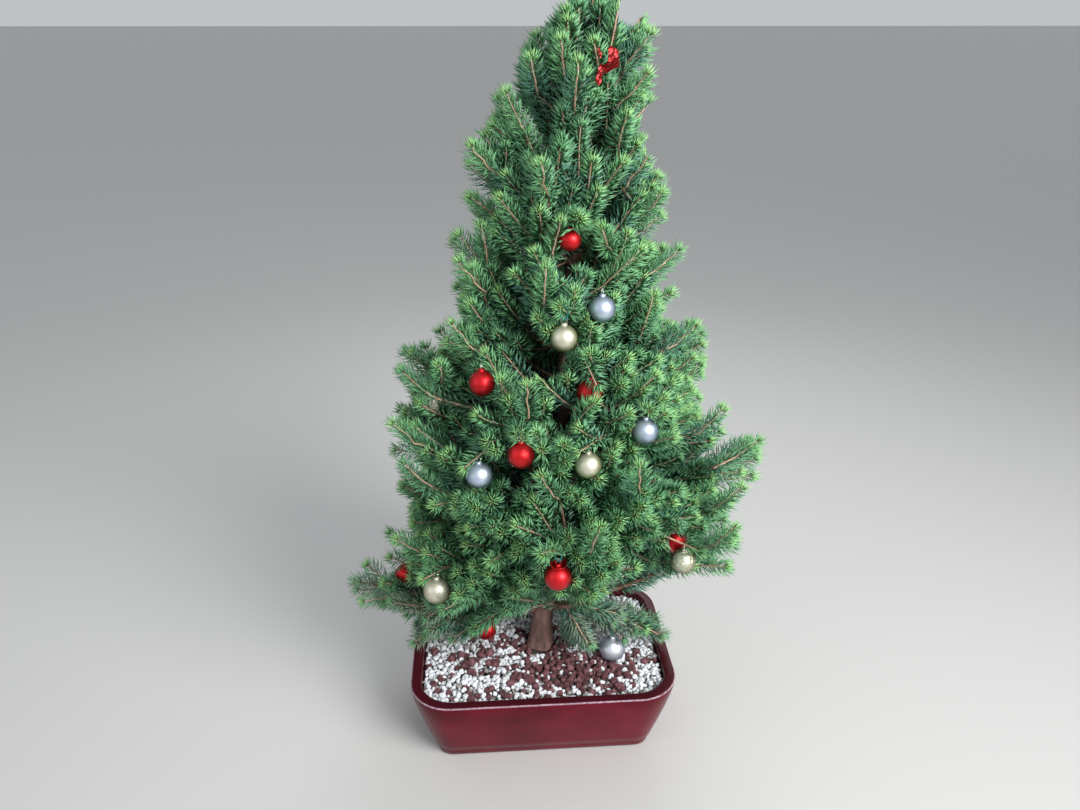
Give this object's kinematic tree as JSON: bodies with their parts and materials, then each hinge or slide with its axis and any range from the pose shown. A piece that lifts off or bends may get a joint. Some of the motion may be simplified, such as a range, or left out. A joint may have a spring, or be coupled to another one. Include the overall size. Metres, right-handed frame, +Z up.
{
  "type": "potted dwarf spruce bonsai with small festive ornaments",
  "caption": "Conical dwarf spruce bonsai with a leaning trunk, standing in a shallow glazed rectangular pot filled with grit.",
  "frame": {"origin": "centre of the pot's flat underside", "axes": "+X along the pot's long side, +Y towards the back, +Z up along the trunk"},
  "size_m": [0.3756, 0.3197, 0.672],
  "materials": {
    "glaze": "gloss",
    "grit": "matte",
    "bark": "matte",
    "needles": "satin",
    "ornament_shell": "gloss",
    "ornament_cap": "polished",
    "hanger_tie": "satin",
    "foil": "gloss"
  },
  "bodies": {
    "root": {"pot": "glaze", "soil": "grit", "trunk": "bark", "bough_low_back": "bark", "bough_low_back_right": "bark", "bough_low_front": "bark", "bough_low_front_left": "bark", "bough_low_left": "bark", "bough_low_right": "bark", "bough_skirt_back_left": "bark", "bough_skirt_back_right": "bark", "bough_skirt_front_left": "bark", "bough_skirt_front_right": "bark", "bough_skirt_left": "bark", "bough_skirt_right": "bark", "bough_waist_back_left": "bark", "bough_waist_back_right": "bark", "bough_waist_front_left": "bark", "bough_waist_front_right": "bark", "bough_waist_left": "bark", "bough_waist_right": "bark", "mass_crest_back": "needles", "mass_crest_front_left": "needles", "mass_crest_right": "needles", "mass_high_back_right": "needles", "mass_high_front_left": "needles", "mass_high_front_right": "needles", "mass_high_left": "needles", "mass_leader": "needles", "mass_low_back": "needles", "mass_low_back_right": "needles", "mass_low_front": "needles", "mass_low_front_left": "needles", "mass_low_left": "needles", "mass_low_right": "needles", "mass_middle_back": "needles", "mass_middle_front_left": "needles", "mass_middle_front_right": "needles", "mass_middle_left": "needles", "mass_middle_right": "needles", "mass_neck_back_left": "needles", "mass_neck_front_left": "needles", "mass_neck_right": "needles", "mass_skirt_back_left": "needles", "mass_skirt_back_right": "needles", "mass_skirt_front_left": "needles", "mass_skirt_front_right": "needles", "mass_skirt_left": "needles", "mass_skirt_right": "needles", "mass_upper_back": "needles", "mass_upper_front": "needles", "mass_upper_left": "needles", "mass_upper_right": "needles", "mass_waist_back_left": "needles", "mass_waist_back_right": "needles", "mass_waist_front_left": "needles", "mass_waist_front_right": "needles", "mass_waist_left": "needles", "mass_waist_right": "needles"}
  },
  "joints": []
}
